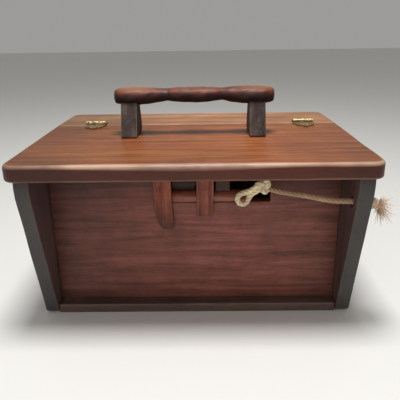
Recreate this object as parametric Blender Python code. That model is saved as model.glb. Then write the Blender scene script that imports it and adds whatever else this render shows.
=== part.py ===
"""Wooden carrying box with a hinged lid board, a carved handle and a cord-drawn sliding bolt.

Units are metres, +Z is up and the front of the box faces -Y. The origin is the middle of the
lid's outline, on the floor. Pieces that touch are drawn 0.3 mm apart.
"""
import math

import bmesh
import bpy

for old in list(bpy.data.objects):
    bpy.data.objects.remove(old, do_unlink=True)

# overall sizes
LID_W = 0.300
LID_D = 0.240
LID_T = 0.0142
HEIGHT = 0.160
GAP = 0.0003

# boards
REAR_D = 0.074
CORNER_R = 0.013
REAR_CORNER_R = 0.010
END_T = 0.012
SIDE_OVERHANG = 0.005
END_TOP_IN = 0.010
END_LEAN = 0.0355
BASE_T = 0.0087
BASE_SET = 0.046
PANEL_T = 0.012
PANEL_SET = 0.058

# latch
GROOVE_DEPTH = 0.0378
GROOVE_SPARE = 0.003
BOLT_X0 = -0.0350
BOLT_X1 = 0.0500
BOLT_H = 0.0089
BOLT_D = 0.0112
BOLT_TRAVEL = 0.016
STRAP_T = 0.0050
STRAP_FREE = 0.0004
LIP_H = 0.0034
LIP_D = 0.0072
CATCH_X0 = 0.0190
CATCH_X1 = 0.0317
CATCH_D = 0.0157
TONGUE_D = 0.0054
TONGUE_H = 0.0075
TONGUE_SET = 0.0115
TONGUE_FREE = 0.0010
PEG_R = 0.0020
PEG_X = 0.0432
PEG_REACH = 0.0113

# hinges
PIN_R = 0.0011
PIN_CLEAR = 0.0001
BARREL_R = 0.0022
HINGE_W = 0.021
LEAF_LEN = 0.024
LEAF_T = 0.0012
HINGE_IN = (0.0415, 0.0340)
NAIL_R = 0.0007
NAIL_LEN = 0.0090
NAIL_DX = 0.0058
NAIL_DY = 0.0095

# handle
POST_X = (-0.0629, 0.0601)
POST_W = 0.0152
POST_H = 0.0325
POST_TOP_Y = (-0.0140, 0.0080)
BAR_X0 = -0.0775
BAR_X1 = 0.0768
BAR_Y = -0.0035
BAR_RISE = 0.0050

# cord
CORD_R = 0.0024
CORD_HOLE_R = 0.0052
CORD_Y = -0.0935
CORD_Z = 0.1185

UNDER = HEIGHT - LID_T
WALL_TOP = UNDER - GAP
SEAM_Y = LID_D / 2 - REAR_D
PIN_Z = HEIGHT + 2 * GAP + BARREL_R
HINGE_X = (-LID_W / 2 + HINGE_IN[0], LID_W / 2 - HINGE_IN[1])
END_OUT = LID_W / 2 - SIDE_OVERHANG
INNER_X = END_OUT - END_T - GAP
BASE_FRONT = -LID_D / 2 + BASE_SET
PANEL_FRONT = -LID_D / 2 + PANEL_SET
PANEL_BACK = PANEL_FRONT + PANEL_T
NOTCH_X0 = BOLT_X0 - 0.001
GROOVE_X1 = BOLT_X1 + BOLT_TRAVEL + GROOVE_SPARE
GROOVE_Z = UNDER - GROOVE_DEPTH
POST_TOP = HEIGHT + POST_H
BAR_Z = POST_TOP + BAR_RISE
BOLT_FRONT = PANEL_FRONT + GAP
BOLT_Z0 = GROOVE_Z + GAP
BOLT_Z1 = BOLT_Z0 + BOLT_H
BOLT_BACK = BOLT_FRONT + BOLT_D
LIP_Z0 = BOLT_Z1 + STRAP_FREE
TONGUE_Y = PANEL_FRONT + TONGUE_SET
TONGUE_Z0 = BOLT_Z1 + 0.0043
TONGUE_Z1 = TONGUE_Z0 + TONGUE_H


def srgb(text):
    values = [int(text[i:i + 2], 16) / 255 for i in (0, 2, 4)]
    return [v / 12.92 if v <= 0.04045 else ((v + 0.055) / 1.055) ** 2.4 for v in values]


def material(name, colour, rough, metal=0.0):
    mat = bpy.data.materials.new(name)
    mat.use_nodes = True
    shader = mat.node_tree.nodes["Principled BSDF"]
    shader.inputs["Base Color"].default_value = srgb(colour) + [1.0]
    shader.inputs["Roughness"].default_value = rough
    shader.inputs["Metallic"].default_value = metal
    mat.diffuse_color = srgb(colour) + [1.0]
    return mat


def empty(name, place):
    node = bpy.data.objects.new(name, None)
    bpy.context.collection.objects.link(node)
    node.location = place
    return node


def add(name, points, faces, look=None, parent=None, smooth=False):
    """Mesh object whose points are given in the box's frame; its own origin is its parent's."""
    origin = tuple(parent.location) if parent else (0.0, 0.0, 0.0)
    local = [tuple(p[i] - origin[i] for i in range(3)) for p in points]
    mesh = bpy.data.meshes.new(name)
    mesh.from_pydata(local, [], faces)
    work = bmesh.new()
    work.from_mesh(mesh)
    bmesh.ops.recalc_face_normals(work, faces=work.faces)
    work.to_mesh(mesh)
    work.free()
    for poly in mesh.polygons:
        poly.use_smooth = smooth
    obj = bpy.data.objects.new(name, mesh)
    bpy.context.collection.objects.link(obj)
    if parent:
        obj.parent = parent
    if look:
        mesh.materials.append(material(name, *look))
    return obj


def prism_data(outline, axis, low, high):
    """Outline pairs are the two other axes in X, Y, Z order."""
    count = len(outline)
    points = []
    for depth in (low, high):
        for a, b in outline:
            if axis == "x":
                points.append((depth, a, b))
            elif axis == "y":
                points.append((a, depth, b))
            else:
                points.append((a, b, depth))
    faces = [tuple(range(count)), tuple(range(2 * count - 1, count - 1, -1))]
    for i in range(count):
        j = (i + 1) % count
        faces.append((i, j, count + j, count + i))
    return points, faces


def prism(name, outline, axis, low, high, look=None, parent=None, smooth=False):
    points, faces = prism_data(outline, axis, low, high)
    return add(name, points, faces, look, parent, smooth)


def block(name, low, high, look=None, parent=None):
    outline = [(low[0], low[1]), (high[0], low[1]), (high[0], high[1]), (low[0], high[1])]
    return prism(name, outline, "z", low[2], high[2], look, parent)


def circle(centre, radius, count=24):
    step = 2 * math.pi / count
    return [(centre[0] + radius * math.cos(step * i), centre[1] + radius * math.sin(step * i))
            for i in range(count)]


def arc(centre, radius, start, end, count=6):
    angles = [math.radians(start + (end - start) * i / count) for i in range(count + 1)]
    return [(centre[0] + radius * math.cos(a), centre[1] + radius * math.sin(a)) for a in angles]


def soften(obj, width, segments=2):
    mod = obj.modifiers.new("edge", "BEVEL")
    mod.width = width
    mod.segments = segments
    mod.limit_method = "ANGLE"
    mod.angle_limit = math.radians(40)
    return obj


def combine(obj, tool, operation):
    """Exact boolean with a hidden tool body."""
    tool.hide_render = True
    tool.display_type = "WIRE"
    mod = obj.modifiers.new(operation.lower(), "BOOLEAN")
    mod.operation = operation
    mod.solver = "EXACT"
    mod.object = tool
    return obj


def cylinders(name, spots, radius, axis, low, high, parent=None, count=16):
    """Several separate cylinders in one tool body."""
    points = []
    faces = []
    for spot in spots:
        some, sides = prism_data(circle(spot, radius, count), axis, low, high)
        offset = len(points)
        points += some
        faces += [tuple(offset + k for k in side) for side in sides]
    return add(name, points, faces, None, parent)


def lathe(name, rings, look, parent=None, count=12):
    """Round body: each ring is (centre, radius, (u, v) unit vectors); the ends are closed flat."""
    points = []
    for centre, radius, (u, v) in rings:
        for i in range(count):
            a = 2 * math.pi * i / count
            points.append(tuple(centre[k] + radius * (math.cos(a) * u[k] + math.sin(a) * v[k])
                                for k in range(3)))
    faces = [tuple(range(count))]
    for r in range(len(rings) - 1):
        for i in range(count):
            j = (i + 1) % count
            faces.append((r * count + i, r * count + j, (r + 1) * count + j, (r + 1) * count + i))
    last = (len(rings) - 1) * count
    faces.append(tuple(range(last + count - 1, last - 1, -1)))
    return add(name, points, faces, look, parent, True)


def smooth_line(knots, steps):
    """Centripetal-free Catmull-Rom curve through the knots, steps points a span."""
    points = []
    for i in range(len(knots) - 1):
        before = knots[max(i - 1, 0)]
        after = knots[min(i + 2, len(knots) - 1)]
        for s in range(steps):
            t = s / steps
            points.append(tuple(
                0.5 * (2 * knots[i][k] + (knots[i + 1][k] - before[k]) * t
                       + (2 * before[k] - 5 * knots[i][k] + 4 * knots[i + 1][k] - after[k]) * t * t
                       + (3 * knots[i][k] - before[k] - 3 * knots[i + 1][k] + after[k]) * t ** 3)
                for k in range(len(knots[i]))))
    points.append(tuple(knots[-1]))
    return points


def tube(name, points, radius, look, parent, cyclic=False):
    curve = bpy.data.curves.new(name, "CURVE")
    curve.dimensions = "3D"
    curve.bevel_depth = radius
    curve.bevel_resolution = 3
    curve.use_fill_caps = not cyclic
    spline = curve.splines.new("POLY")
    spline.points.add(len(points) - 1)
    for slot, point in zip(spline.points, points):
        slot.co = tuple(point[k] - parent.location[k] for k in range(3)) + (1.0,)
    spline.use_cyclic_u = cyclic
    spline.use_smooth = True
    curve.materials.append(material(name, *look))
    obj = bpy.data.objects.new(name, curve)
    bpy.context.collection.objects.link(obj)
    obj.parent = parent
    return obj


LID_LOOK = ("8A4A30", 0.38)
REAR_LOOK = ("97593A", 0.40)
PANEL_LOOK = ("5E3528", 0.45)
END_LOOK = ("3A3434", 0.55)
BASE_LOOK = ("4A2A20", 0.50)
STRAP_LOOK = ("8C5236", 0.50)
HANDLE_LOOK = ("7A3E2C", 0.33)
POST_LOOK = ("4B4243", 0.60)
CATCH_LOOK = ("5C4A44", 0.60)
BRASS_LOOK = ("B08D57", 0.35, 1.0)
STEEL_LOOK = ("6E6A66", 0.40, 1.0)
CORD_LOOK = ("B39A78", 0.90)


def end_outline(raise_bottom):
    """Side view of an end board: it flares out to front and back as it rises."""
    front = -LID_D / 2
    top = front + END_TOP_IN
    foot = front + END_TOP_IN + END_LEAN
    half = [(foot, 0.0010 + raise_bottom), (top + 0.0030, WALL_TOP - 0.0255),
            (top + 0.0005, WALL_TOP - 0.0155), (top - 0.0005, WALL_TOP - 0.0075), (top, WALL_TOP)]
    back = [(-y, z) for y, z in reversed(half)]
    return half + back


def end_panel(name, side):
    """The foot is worn so that its outer edge stands a little higher than its inner one."""
    inner = end_outline(0.0)
    outer = end_outline(0.0025)
    count = len(inner)
    points = [(side * (END_OUT - END_T), y, z) for y, z in inner]
    points += [(side * END_OUT, y, z) for y, z in outer]
    faces = [tuple(range(count)), tuple(range(2 * count - 1, count - 1, -1))]
    for i in range(count):
        j = (i + 1) % count
        faces.append((i, j, count + j, count + i))
    return soften(add(name, points, faces, END_LOOK), 0.0009)


def box_body():
    block("base_board", (-INNER_X, BASE_FRONT, 0.0), (INNER_X, -BASE_FRONT, BASE_T), BASE_LOOK)
    soften(bpy.data.objects["base_board"], 0.0008)
    floor = BASE_T + GAP
    outline = [(-INNER_X, floor), (INNER_X, floor), (INNER_X, WALL_TOP), (GROOVE_X1, WALL_TOP),
               (GROOVE_X1, GROOVE_Z), (NOTCH_X0, GROOVE_Z), (NOTCH_X0, WALL_TOP),
               (-INNER_X, WALL_TOP)]
    prism("front_panel", outline, "y", PANEL_FRONT, PANEL_BACK, PANEL_LOOK)
    back = block("back_panel", (-INNER_X, -PANEL_BACK, floor), (INNER_X, -PANEL_FRONT, WALL_TOP),
                 PANEL_LOOK)
    soften(back, 0.0006)
    end_panel("end_panel_left", -1)
    right = end_panel("end_panel_right", 1)
    hole = cylinders("cut_cord_hole", [(CORD_Y, CORD_Z)], CORD_HOLE_R, "x", INNER_X - 0.01,
                     END_OUT + 0.01, None, 28)
    combine(right, hole, "DIFFERENCE")


def rear_board():
    y0 = SEAM_Y + GAP
    y1 = LID_D / 2
    x = LID_W / 2
    r = REAR_CORNER_R
    outline = [(-x, y0), (x, y0)]
    outline += arc((x - r, y1 - r), r, 0, 90)
    outline += arc((-x + r, y1 - r), r, 90, 180)
    board = prism("lid_rear_board", outline, "z", UNDER, HEIGHT, REAR_LOOK)
    soften(board, 0.0015, 3)
    spots = [(hx + dx, y) for hx in HINGE_X for dx, y in nail_spots(1)]
    cut = cylinders("cut_rear_nails", spots, NAIL_R + GAP, "z", HEIGHT - NAIL_LEN - 0.001, HEIGHT + 0.01)
    combine(board, cut, "DIFFERENCE")


def nail_spots(side):
    return [(-NAIL_DX, SEAM_Y + side * NAIL_DY), (NAIL_DX, SEAM_Y + side * NAIL_DY)]


def leaf_outline(centre, side):
    """Scrolled plan of one hinge leaf; it stays clear of the other leaf's barrel."""
    half = HINGE_W / 2
    free = BARREL_R + 0.0005
    knots = [(half, free), (half, 0.0075), (half * 0.70, 0.0105), (half * 0.92, 0.0140),
             (half * 0.72, 0.0175), (half * 0.36, 0.0190), (half * 0.30, 0.0215), (0.0, LEAF_LEN)]
    right = smooth_line(knots, 3)
    left = [(-dx, dy) for dx, dy in reversed(right[:-1])]
    return [(centre + dx, SEAM_Y + side * dy) for dx, dy in right + left]


def hinge_leaf(name, centre, side, parent):
    low = HEIGHT + GAP
    leaf = prism(name, leaf_outline(centre, side), "z", low, low + LEAF_T, BRASS_LOOK, parent)
    third = HINGE_W / 3
    if side < 0:
        spans = [(-third / 2 + 0.0002, third / 2 - 0.0002)]
    else:
        spans = [(-HINGE_W / 2, -third / 2 - 0.0002), (third / 2 + 0.0002, HINGE_W / 2)]
    for k, (a, b) in enumerate(spans):
        arm_lo = min(SEAM_Y, SEAM_Y + side * 0.0040)
        arm_hi = max(SEAM_Y, SEAM_Y + side * 0.0040)
        arm = block(f"tool_arm_{name}_{k}", (centre + a, arm_lo, low), (centre + b, arm_hi, low + LEAF_T),
                    None, parent)
        combine(leaf, arm, "UNION")
        barrel = cylinders(f"tool_barrel_{name}_{k}", [(SEAM_Y, PIN_Z)], BARREL_R, "x",
                           centre + a, centre + b, parent, 24)
        combine(leaf, barrel, "UNION")
    bore = cylinders(f"cut_bore_{name}", [(SEAM_Y, PIN_Z)], PIN_R + PIN_CLEAR, "x",
                     centre - 0.02, centre + 0.02, parent, 24)
    combine(leaf, bore, "DIFFERENCE")
    spots = [(centre + dx, y) for dx, y in nail_spots(side)]
    combine(leaf, cylinders(f"cut_nails_{name}", spots, NAIL_R + GAP, "z", HEIGHT - 0.01, HEIGHT + 0.01,
                            parent), "DIFFERENCE")
    return leaf


def nail(name, spot, parent):
    """Round-headed hinge nail."""
    u, v = (1, 0, 0), (0, 1, 0)
    seat = HEIGHT + 2 * GAP + LEAF_T
    tip = HEIGHT - NAIL_LEN
    profile = [(tip, 0.0003), (tip + 0.0015, NAIL_R), (seat, NAIL_R), (seat, 0.0016),
               (seat + 0.0003, 0.0015), (seat + 0.0006, 0.0008)]
    rings = [((spot[0], spot[1], z), r, (u, v)) for z, r in profile]
    return lathe(name, rings, STEEL_LOOK, parent)


def hinges(pivot):
    for tag, centre in zip(("left", "right"), HINGE_X):
        hinge_leaf(f"hinge_rear_leaf_{tag}", centre, 1, None)
        hinge_leaf(f"hinge_front_leaf_{tag}", centre, -1, pivot)
        half = HINGE_W / 2 + 0.0006
        prism(f"hinge_pin_{tag}", circle((SEAM_Y, PIN_Z), PIN_R, 24), "x", centre - half,
              centre + half, BRASS_LOOK, None, True)
        for k, (dx, y) in enumerate(nail_spots(1)):
            nail(f"hinge_nail_rear_{tag}_{k + 1}", (centre + dx, y), None)
        for k, (dx, y) in enumerate(nail_spots(-1)):
            nail(f"hinge_nail_front_{tag}_{k + 1}", (centre + dx, y), pivot)


def front_board(pivot):
    y0 = -LID_D / 2
    y1 = SEAM_Y - GAP
    x = LID_W / 2
    r = CORNER_R
    outline = [(x, y1), (-x, y1)]
    outline += arc((-x + r, y0 + r), r, 180, 270, 8)
    outline += arc((x - r, y0 + r), r, 270, 360, 8)
    board = prism("lid_front_board", outline, "z", UNDER, HEIGHT, LID_LOOK, pivot)
    soften(board, 0.0020, 3)
    spots = [(hx + dx, y) for hx in HINGE_X for dx, y in nail_spots(-1)]
    cut = cylinders("cut_front_nails", spots, NAIL_R + GAP, "z", HEIGHT - NAIL_LEN - 0.001,
                    HEIGHT + 0.01, pivot)
    combine(board, cut, "DIFFERENCE")


def handle(pivot):
    """Two tapered posts under one carved bar with three swellings."""
    foot = HEIGHT + GAP
    for tag, centre in zip(("left", "right"), POST_X):
        outline = [(-0.0250, foot), (0.0150, foot), (0.0180, foot + 0.004), (0.0165, foot + 0.011),
                   (POST_TOP_Y[1], POST_TOP), (POST_TOP_Y[0], POST_TOP)]
        post = prism(f"handle_post_{tag}", outline, "x", centre - POST_W / 2, centre + POST_W / 2,
                     POST_LOOK, pivot)
        soften(post, 0.0006)
    knots = [(BAR_X0, 0.0010, 0.0010, 0.0), (-0.0768, 0.0060, 0.0048, 0.0), (-0.0735, 0.0100, 0.0069, 0.0),
             (-0.0640, 0.0125, 0.0080, 0.0), (-0.0480, 0.0120, 0.0079, 0.0),
             (-0.0320, 0.0085, 0.0066, 0.0006), (-0.0250, 0.0078, 0.0062, 0.0009),
             (-0.0120, 0.0100, 0.0069, 0.0007), (0.0010, 0.0108, 0.0071, 0.0006),
             (0.0150, 0.0098, 0.0067, 0.0008), (0.0260, 0.0078, 0.0060, 0.0011),
             (0.0330, 0.0088, 0.0068, 0.0008), (0.0480, 0.0122, 0.0079, 0.0002),
             (0.0630, 0.0125, 0.0080, 0.0), (0.0730, 0.0100, 0.0069, 0.0),
             (0.0761, 0.0060, 0.0048, 0.0), (BAR_X1, 0.0010, 0.0010, 0.0)]
    stations = smooth_line(knots, 3)
    count = 20
    points = []
    for x, wide, tall, lift in stations:
        for i in range(count):
            a = 2 * math.pi * i / count
            c, s = math.cos(a), math.sin(a)
            y = wide * math.copysign(abs(c) ** 0.8, c)
            z = tall * math.copysign(abs(s) ** 0.8, s)
            points.append((x, BAR_Y + y, BAR_Z + lift + z))
    faces = [tuple(range(count))]
    for r in range(len(stations) - 1):
        for i in range(count):
            j = (i + 1) % count
            faces.append((r * count + i, r * count + j, (r + 1) * count + j, (r + 1) * count + i))
    last = (len(stations) - 1) * count
    faces.append(tuple(range(last + count - 1, last - 1, -1)))
    bar = add("handle_bar", points, faces, HANDLE_LOOK, pivot, True)
    for tag, centre in zip(("left", "right"), POST_X):
        half = POST_W / 2 + GAP
        low = (centre - half, POST_TOP_Y[0] - 0.0011, POST_TOP - 0.0175)
        high = (centre + half, POST_TOP_Y[1] + 0.0014, POST_TOP + GAP)
        combine(bar, block(f"cut_mortise_{tag}", low, high, None, pivot), "DIFFERENCE")


def catch(pivot):
    """Keeper under the lid: a block with a tunnel that the bolt's tongue enters."""
    front = TONGUE_Y - 0.0087
    body = block("lid_catch", (CATCH_X0, front, BOLT_Z1 + 0.0008), (CATCH_X1, front + CATCH_D, UNDER - GAP),
                 CATCH_LOOK, pivot)
    half = TONGUE_D / 2 + TONGUE_FREE
    low = (CATCH_X0 - 0.01, TONGUE_Y - half, TONGUE_Z0 - 0.6 * TONGUE_FREE)
    high = (CATCH_X1 + 0.01, TONGUE_Y + half, TONGUE_Z1 + 0.7 * TONGUE_FREE)
    combine(body, block("cut_catch", low, high, None, pivot), "DIFFERENCE")


def strap(name, outline, low_x, high_x):
    """Upright strap on the panel's face, with a lip behind it that holds the bolt down."""
    back = PANEL_FRONT - GAP
    body = prism(name, outline, "y", back - STRAP_T, back, STRAP_LOOK)
    lip = block(f"tool_lip_{name}", (low_x, back - 0.001, LIP_Z0),
                (high_x, BOLT_FRONT + LIP_D, LIP_Z0 + LIP_H))
    combine(body, lip, "UNION")
    return body


def straps():
    top = UNDER - 0.0008
    g = GROOVE_Z
    left = [(-0.0379, top), (-0.0372, g + 0.0020), (-0.0358, g - 0.0110), (-0.0338, g - 0.0190),
            (-0.0305, g - 0.0240), (-0.0200, g - 0.0245), (-0.0197, g - 0.0180), (-0.0212, g + 0.0040),
            (-0.0216, top)]
    right = [(0.0014, top), (0.0014, g - 0.0115), (0.0022, g - 0.0123), (0.0148, g - 0.0123),
             (0.0157, g - 0.0115), (0.0171, g + 0.0120), (0.0171, top)]
    strap("strap_left", left, -0.0350, -0.0225)
    strap("strap_right", right, 0.0020, 0.0160)


def bolt(slide):
    r = 0.0036
    y0, y1, z0, z1 = BOLT_FRONT, BOLT_BACK, BOLT_Z0, BOLT_Z1
    outline = arc((y0 + r, z0 + r), r, 180, 270)
    outline += [(y1, z0), (y1, z1)]
    outline += arc((y0 + r, z1 - r), r, 90, 180)
    body = prism("latch_bolt", outline, "x", BOLT_X0, BOLT_X1, STRAP_LOOK, slide, False)
    soften(body, 0.0005)
    peg_z = z0 + BOLT_H * 0.53
    cut = cylinders("cut_peg", [(PEG_X, peg_z)], PEG_R + GAP, "y", y0 - 0.01, y1 + 0.01, slide, 20)
    combine(body, cut, "DIFFERENCE")
    u, v = (1, 0, 0), (0, 0, 1)
    tip = PANEL_FRONT - PEG_REACH
    profile = [(tip, PEG_R - 0.0006), (tip + 0.0004, PEG_R - 0.0001), (tip + 0.0033, PEG_R),
               (y1 - 0.0005, PEG_R)]
    lathe("latch_peg", [((PEG_X, y, peg_z), rad, (u, v)) for y, rad in profile], STRAP_LOOK, slide)
    base = z1 + GAP
    stem = CATCH_X0 - 0.003 - BOLT_TRAVEL
    tip = CATCH_X0 - 0.002
    hook = [(stem - 0.0215, base), (stem, base), (stem, TONGUE_Z0), (tip, TONGUE_Z0), (tip, TONGUE_Z1),
            (stem - 0.0215, TONGUE_Z1)]
    half = TONGUE_D / 2
    soften(prism("latch_tongue", hook, "y", TONGUE_Y - half, TONGUE_Y + half, CATCH_LOOK, slide), 0.0004)


def cord(slide):
    """Eye over the peg, knot, run out through the end board and frayed tail."""
    cx, cy, cz = 0.0440, -0.0672, 0.1142
    ring = []
    for k in range(15):
        a = math.radians(75 + 290 * k / 14)
        ring.append((cx + 0.0060 * math.cos(a), cy, cz + 0.0060 * math.sin(a)))
    ring.append((cx + 0.0082, cy, cz + 0.0031))
    ring.append((cx + 0.0086, cy, cz + 0.0058))
    ring.append((cx + 0.0055, cy, cz + 0.0066))
    tube("cord_eye", ring, 0.0020, CORD_LOOK, slide, True)
    u, v = (0, 1, 0), (0, 0, 1)
    shape = [(-0.97, 0.20), (-0.85, 0.52), (-0.6, 0.82), (-0.3, 0.96), (0.0, 1.0), (0.3, 0.96), (0.6, 0.82),
             (0.85, 0.52), (0.97, 0.20)]
    knot = lathe("cord_knot", [((0.0606 + 0.0063 * t, -0.0712, 0.1262), 0.0064 * r, (u, v))
                               for t, r in shape], CORD_LOOK, slide, 16)
    knot.data.update()
    knots = [(0.0672, -0.0712, 0.1232), (0.0760, -0.0760, 0.1222), (0.0950, -0.0840, 0.1214),
             (0.1150, -0.0918, 0.1196), (0.1330, -0.0932, 0.1188), (0.1472, -0.0935, 0.1176)]
    tube("cord_run", smooth_line(knots, 5), CORD_R, CORD_LOOK, slide)
    shape = [(0.1475, 0.0030), (0.1495, 0.0058), (0.1520, 0.0072), (0.1560, 0.0085), (0.1600, 0.0086),
             (0.1640, 0.0070), (0.1665, 0.0042), (0.1675, 0.0015)]
    lathe("cord_tail", [((x, CORD_Y, 0.1174 - (x - 0.1475) * 0.22), r, (u, v)) for x, r in shape],
          CORD_LOOK, slide, 16)


lid_pivot = empty("lid_pivot", (0.0, SEAM_Y, PIN_Z))
latch_slide = empty("latch_slide", (0.0, BOLT_FRONT, BOLT_Z0))
box_body()
rear_board()
straps()
front_board(lid_pivot)
hinges(lid_pivot)
handle(lid_pivot)
catch(lid_pivot)
bolt(latch_slide)
cord(latch_slide)
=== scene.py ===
# %% [markdown]
# # A wooden carrying box with a cord-drawn latch
# This lesson dresses a packed working model: the boards, hinges and bolt already move, and here
# they get finished shapes and finishes. Distances are metres, +Z is up, the front faces -Y.

# %% Load the working model and measure it
import math
import bpy
import numpy as np
from mathutils import Matrix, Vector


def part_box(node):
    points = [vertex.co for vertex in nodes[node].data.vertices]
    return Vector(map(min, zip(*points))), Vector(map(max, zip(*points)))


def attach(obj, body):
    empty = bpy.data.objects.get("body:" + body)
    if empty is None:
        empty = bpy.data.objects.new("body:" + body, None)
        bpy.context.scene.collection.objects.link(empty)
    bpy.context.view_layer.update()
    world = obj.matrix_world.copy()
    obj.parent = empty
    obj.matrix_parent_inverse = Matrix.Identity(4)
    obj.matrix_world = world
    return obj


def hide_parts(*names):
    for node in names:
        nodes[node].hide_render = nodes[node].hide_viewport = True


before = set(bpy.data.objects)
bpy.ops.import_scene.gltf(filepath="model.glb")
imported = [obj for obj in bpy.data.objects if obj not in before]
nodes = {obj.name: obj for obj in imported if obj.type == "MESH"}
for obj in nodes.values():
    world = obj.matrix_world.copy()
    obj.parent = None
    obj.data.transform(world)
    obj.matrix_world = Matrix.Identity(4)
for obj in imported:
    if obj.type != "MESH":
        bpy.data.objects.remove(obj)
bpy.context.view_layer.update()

# %% [markdown]
# ## The camera
# The box is seen from the front and a little above, from about half a metre away, so the lid's
# sides run together. A camera can be aimed by eye or by a tracking constraint; here its three
# directions are worked out from a pitch, a turn and a tilt, so the same view comes back every time.

# %% Camera
EYE_PLACE = (0.0098, -0.4759, 0.2574)
EYE_PITCH, EYE_TURN, EYE_TILT = 19.557, 0.7304, -0.8161
LENS_LENGTH, SENSOR_WIDTH = 43.2, 36.0


def camera_matrix(place, pitch, turn, tilt):
    """Columns are right, up and backwards: turn about Z, then look down by pitch, then roll by tilt."""
    p, y, r = (math.radians(v) for v in (pitch, turn, tilt))
    right = np.array([math.cos(y), math.sin(y), 0.0])
    ahead = np.array([-math.sin(y) * math.cos(p), math.cos(y) * math.cos(p), -math.sin(p)])
    above = np.cross(right, ahead)
    across = math.cos(r) * right + math.sin(r) * above
    up = math.cos(r) * above - math.sin(r) * right
    rows = np.eye(4)
    rows[:3, 0], rows[:3, 1], rows[:3, 2], rows[:3, 3] = across, up, -ahead, place
    return Matrix(rows.tolist())


lens = bpy.data.cameras.new("view")
lens.lens = LENS_LENGTH
lens.sensor_width = SENSOR_WIDTH
lens.clip_start = 0.01
eye = bpy.data.objects.new("view", lens)
bpy.context.collection.objects.link(eye)
eye.matrix_world = camera_matrix(EYE_PLACE, EYE_PITCH, EYE_TURN, EYE_TILT)
bpy.context.scene.camera = eye
print("camera at", [round(v, 3) for v in eye.location])

# %% [markdown]
# ## Making solids from arrays
# Every new piece is a stack of closed rings. Ring after ring is joined by four-sided faces and
# the first and last rings are capped, so each piece is one closed skin. A modifier stack could
# round a plain block too, but rings let every edge be rounder where hands have worn it.

# %% Rings to a closed solid
def solid(name, rings, body, finish, stands_for=(), closed=False, marks=None):
    """rings is an array (rings, points a ring, 3). Neighbouring rings are joined; the two end rings
    are capped, or joined to each other where the path is closed. marks are numbers for each point."""
    count, around = rings.shape[:2]
    grid = np.arange(count * around).reshape(count, around)
    first = grid if closed else grid[:-1]
    second = np.roll(grid, -1, axis=0) if closed else grid[1:]
    quads = np.stack([first, np.roll(first, -1, axis=1), np.roll(second, -1, axis=1), second], axis=-1)
    faces = quads.reshape(-1, 4).tolist()
    if not closed:
        faces += [grid[0][::-1].tolist(), grid[-1].tolist()]
    points = rings.reshape(-1, 3)
    corners = points[quads.reshape(-1, 4)]
    volume = np.einsum("ij,ij->i", corners[:, 0], np.cross(corners[:, 1] - corners[:, 0],
                       corners[:, 3] - corners[:, 0]) + np.cross(corners[:, 2] - corners[:, 1],
                       corners[:, 3] - corners[:, 1])).sum()
    if not closed:
        for ring, sign in ((rings[0], -1.0), (rings[-1], 1.0)):
            middle = ring.mean(axis=0)
            fan = np.cross(ring - middle, np.roll(ring, -1, axis=0) - middle)
            volume += sign * (fan @ middle).sum()
    if volume < 0:
        faces = [face[::-1] for face in faces]
    mesh = bpy.data.meshes.new(name)
    mesh.from_pydata(points.tolist(), [], faces)
    mesh.polygons.foreach_set("use_smooth", np.ones(len(faces), dtype=bool))
    for key, values in (marks or {}).items():
        mark = mesh.attributes.new(key, "FLOAT", "POINT")
        mark.data.foreach_set("value", values.astype(np.float32).ravel())
    mesh.materials.append(finish)
    piece = bpy.data.objects.new(name, mesh)
    bpy.context.collection.objects.link(piece)
    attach(piece, body)
    if stands_for:
        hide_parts(*stands_for)
    return piece


def wander(place, seed, size):
    """A smooth uneven wave along a line: the sum of six sines of random pitch and phase, about -1 to 1."""
    rng = np.random.default_rng(seed)
    total = np.zeros_like(place)
    for k in range(6):
        total += np.sin(place * 2 * np.pi / (size * rng.uniform(0.5, 2.2)) + rng.uniform(0, 6.28))
    return total / 3.2


sample = wander(np.linspace(0, 1, 200), 1, 0.05)
print("wander runs from", round(float(sample.min()), 2), "to", round(float(sample.max()), 2))

# %% [markdown]
# ## Boards with worn edges
# A board is an outline with a softened edge on both sides. Hand planing and years of carrying
# leave the corners round in some places and crisp in others. A bevel has one width all round, so
# the outline is shrunk step by step instead, by a radius that wanders along it.

# %% Outlines
LEAST_ARC = 0.00012


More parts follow.
